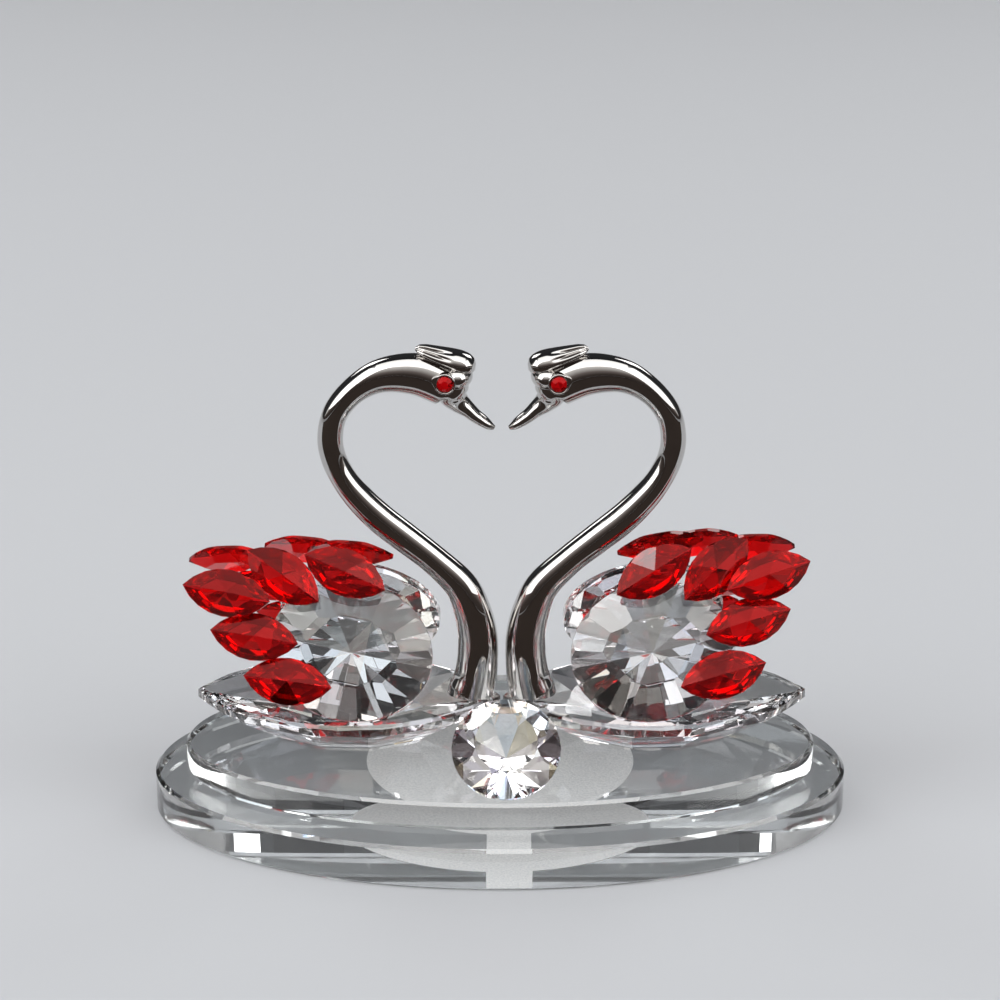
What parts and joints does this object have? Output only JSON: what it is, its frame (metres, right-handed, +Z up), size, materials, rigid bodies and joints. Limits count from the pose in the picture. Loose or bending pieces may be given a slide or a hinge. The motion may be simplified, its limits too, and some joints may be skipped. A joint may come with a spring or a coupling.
{
  "type": "swan figurine",
  "caption": "Pair of cut-crystal swans with red feather stones and chrome necks that form a heart, on a stepped oval glass base.",
  "frame": {"origin": "centre of the base's underside, on the surface it stands on", "axes": "+X along the base's long axis, from the left swan to the right one; -Y towards the front, where the round brilliant lies; +Z up"},
  "size_m": [0.16, 0.093, 0.1126],
  "materials": {
    "base_glass": "polished plate with a sandblasted oval patch in the middle",
    "clear_crystal": "polished facets",
    "red_crystal": "polished facets",
    "chrome": "mirror plate on a casting"
  },
  "bodies": {
    "root": {"base_lower_plate": "base_glass", "base_upper_plate": "base_glass", "center_brilliant": "clear_crystal", "left_boat": "clear_crystal", "left_neck": "chrome", "left_eye_back": "red_crystal", "left_eye_front": "red_crystal", "left_wing_stone_back": "clear_crystal", "left_wing_stone_front": "clear_crystal", "left_feather_back_1": "red_crystal", "left_feather_back_2": "red_crystal", "left_feather_back_3": "red_crystal", "left_feather_back_4": "red_crystal", "left_feather_back_5": "red_crystal", "left_feather_front_1": "red_crystal", "left_feather_front_2": "red_crystal", "left_feather_front_3": "red_crystal", "left_feather_front_4": "red_crystal", "left_feather_front_5": "red_crystal", "right_boat": "clear_crystal", "right_neck": "chrome", "right_eye_back": "red_crystal", "right_eye_front": "red_crystal", "right_wing_stone_back": "clear_crystal", "right_wing_stone_front": "clear_crystal", "right_feather_back_1": "red_crystal", "right_feather_back_2": "red_crystal", "right_feather_back_3": "red_crystal", "right_feather_back_4": "red_crystal", "right_feather_back_5": "red_crystal", "right_feather_front_1": "red_crystal", "right_feather_front_2": "red_crystal", "right_feather_front_3": "red_crystal", "right_feather_front_4": "red_crystal", "right_feather_front_5": "red_crystal"}
  },
  "joints": []
}
